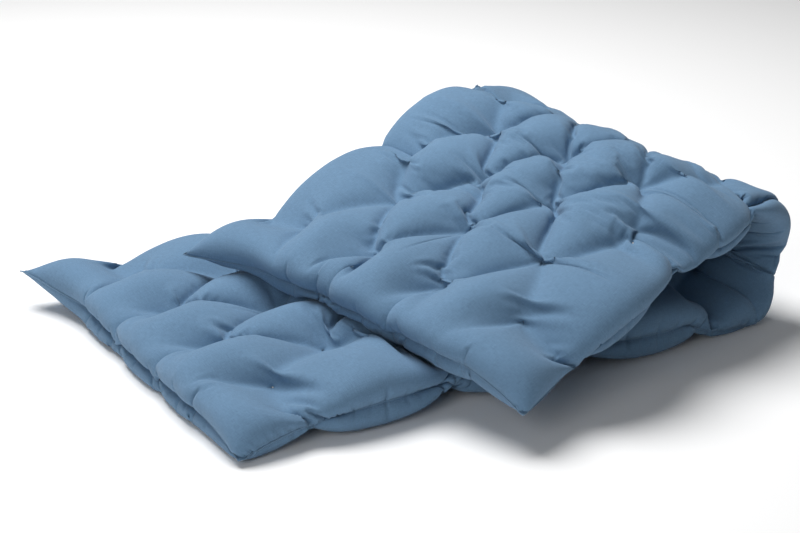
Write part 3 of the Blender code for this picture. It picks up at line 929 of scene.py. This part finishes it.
def cloth_material():
    """Dusty blue linen: thread by thread colour and height, with slubs and a little wear."""
    n = Nodes("dusty_blue_linen")
    where = n.add("UVMap", uv_map="cut").outputs[0]
    across = n.noise(n.stretched(where, (110.0, 1300.0, 1.0)), 1.0, 2.0, 0.6)
    along = n.noise(n.stretched(where, (1300.0, 110.0, 1.0)), 1.0, 2.0, 0.6)
    slub_across = n.noise(n.stretched(where, (45.0, 800.0, 1.0)), 1.0, 2.0)
    slub_along = n.noise(n.stretched(where, (800.0, 45.0, 1.0)), 1.0, 2.0)
    wear = n.noise(where, 9.0, 4.0, 0.6)
    parts = n.add("SeparateXYZ", {"Vector": where})
    turn = math.pi / THREAD_PITCH
    warp = n.math("SINE", n.math("MULTIPLY", parts.outputs[0], turn))
    weft = n.math("SINE", n.math("MULTIPLY", parts.outputs[1], turn))
    weave = n.math("MULTIPLY", warp, weft)
    threads = n.math("MULTIPLY", n.math("ADD", across, along), 0.5)
    slubs = n.math("MULTIPLY", n.math("ADD", slub_across, slub_along), 0.5)
    colour = n.mix(n.ramp(threads, 0.40, 0.60), tint(LINEN, 0.86), tint(LINEN, 1.12))
    colour = n.mix(n.math("MULTIPLY", n.ramp(slubs, 0.56, 0.70), 0.7), colour, tint(LINEN, 1.35))
    colour = n.mix(n.math("MULTIPLY", n.ramp(wear, 0.42, 0.72), 0.25), colour, tint(LINEN, 1.30))
    height = n.math("ADD", n.math("MULTIPLY", weave, 0.35), n.math("ADD", threads, slubs))
    n.bump(height, 0.0006, 0.55)
    n.put(colour, n.shader.inputs["Base Color"])
    roughness = n.add("MapRange", {"Value": threads, "To Min": 0.82, "To Max": 0.96})
    n.put(roughness.outputs[0], n.shader.inputs["Roughness"])
    n.shader.inputs["Specular IOR Level"].default_value = 0.25
    n.shader.inputs["Sheen Weight"].default_value = 0.22
    n.shader.inputs["Sheen Roughness"].default_value = 0.5
    n.shader.inputs["Sheen Tint"].default_value = SHEEN
    return n.material


def thread_material(name, colour, scale):
    """Twisted thread."""
    n = Nodes(name)
    where = n.add("TexCoord").outputs["Object"]
    twist = n.add("TexWave", {"Vector": where, "Scale": scale, "Distortion": 2.0, "Detail": 2.0},
                  wave_type="BANDS", bands_direction="DIAGONAL")
    fuzz = n.noise(where, scale * 4, 2.0)
    colour = n.mix(twist.outputs["Fac"], tint(colour, 0.72), tint(colour, 1.2))
    n.put(colour, n.shader.inputs["Base Color"])
    height = n.math("ADD", twist.outputs["Fac"], n.math("MULTIPLY", fuzz, 0.5))
    n.bump(height, 0.0003, 0.6)
    n.shader.inputs["Roughness"].default_value = 0.8
    n.shader.inputs["Sheen Weight"].default_value = 0.15
    return n.material


def batting_material():
    """Loose cotton."""
    n = Nodes("loose_cotton")
    where = n.add("TexCoord").outputs["Object"]
    fibre = n.noise(n.stretched(where, (160.0, 40.0, 160.0)), 1.0, 5.0, 0.7)
    clump = n.noise(where, 28.0, 3.0)
    colour = n.mix(n.ramp(clump, 0.35, 0.65), COTTON_DARK, COTTON_LIGHT)
    n.put(colour, n.shader.inputs["Base Color"])
    n.bump(n.math("ADD", fibre, clump), 0.002, 0.7)
    n.shader.inputs["Roughness"].default_value = 0.95
    n.shader.inputs["Sheen Weight"].default_value = 0.3
    return n.material


def aim(made, direction):
    """Turns a light or camera to look along a direction."""
    made.rotation_mode = "QUATERNION"
    made.rotation_quaternion = Vector(direction).to_track_quat("-Z", "Y")


def make_camera():
    """The camera, in front of the near side and above it."""
    data = bpy.data.cameras.new("camera")
    data.lens, data.sensor_width, data.clip_end = CAMERA_LENS, SENSOR_WIDTH, 60.0
    camera = bpy.data.objects.new("camera", data)
    bpy.context.scene.collection.objects.link(camera)
    camera.location = CAMERA_AT
    level = math.cos(CAMERA_PITCH)
    aim(camera, (math.cos(CAMERA_YAW) * level, math.sin(CAMERA_YAW) * level, -math.sin(CAMERA_PITCH)))
    bpy.context.scene.camera = camera


def softbox(name, at, size, power):
    """A round soft light aimed at the mattress."""
    data = bpy.data.lights.new(name, "AREA")
    data.shape, data.size, data.energy = "DISK", size, power
    light = bpy.data.objects.new(name, data)
    bpy.context.scene.collection.objects.link(light)
    light.location = at
    aim(light, Vector(LIT_POINT) - Vector(at))


def make_studio():
    """Pale floor, key light from above and behind, weak fill from the left and a dim white world."""
    n = Nodes("pale_floor")
    n.shader.inputs["Base Color"].default_value = FLOOR
    n.shader.inputs["Roughness"].default_value = 0.9
    side = FLOOR_SIZE / 2
    corners = [(x * side, y * side, FLOOR_LEVEL) for x, y in ((-1, -1), (1, -1), (1, 1), (-1, 1))]
    floor = mesh_object("floor", corners, [(0, 1, 2, 3)], n.material)
    softbox("key", *KEY)
    softbox("fill", *FILL)
    world = bpy.data.worlds.new("studio")
    bpy.context.scene.world = world
    world.use_nodes = True
    world.node_tree.nodes["Background"].inputs["Color"].default_value = WHITE
    world.node_tree.nodes["Background"].inputs["Strength"].default_value = WORLD_STRENGTH
    bpy.context.scene.view_settings.view_transform = "Standard"


def main():
    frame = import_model()
    first = frame["joints"][0]["pos_m"]
    shift = np.array([first[0] - FIRST_HINGE_AT, first[1] - WIDTH / 2, 0.0])
    hinges = hinges_of(frame["joints"], shift)
    make_camera()
    make_studio()
    cloth = simulate()
    cloth.out = welded_normals(cloth)
    make_covers(cloth, hinges, shift, cloth_material())
    make_seams(cloth, hinges, shift, thread_material("seam_thread", SEAM_THREAD, 700.0))
    make_tufts(cloth, frame, shift, thread_material("tufting_twine", TWINE, 900.0))
    make_batting(cloth, hinges, shift, batting_material())


main()
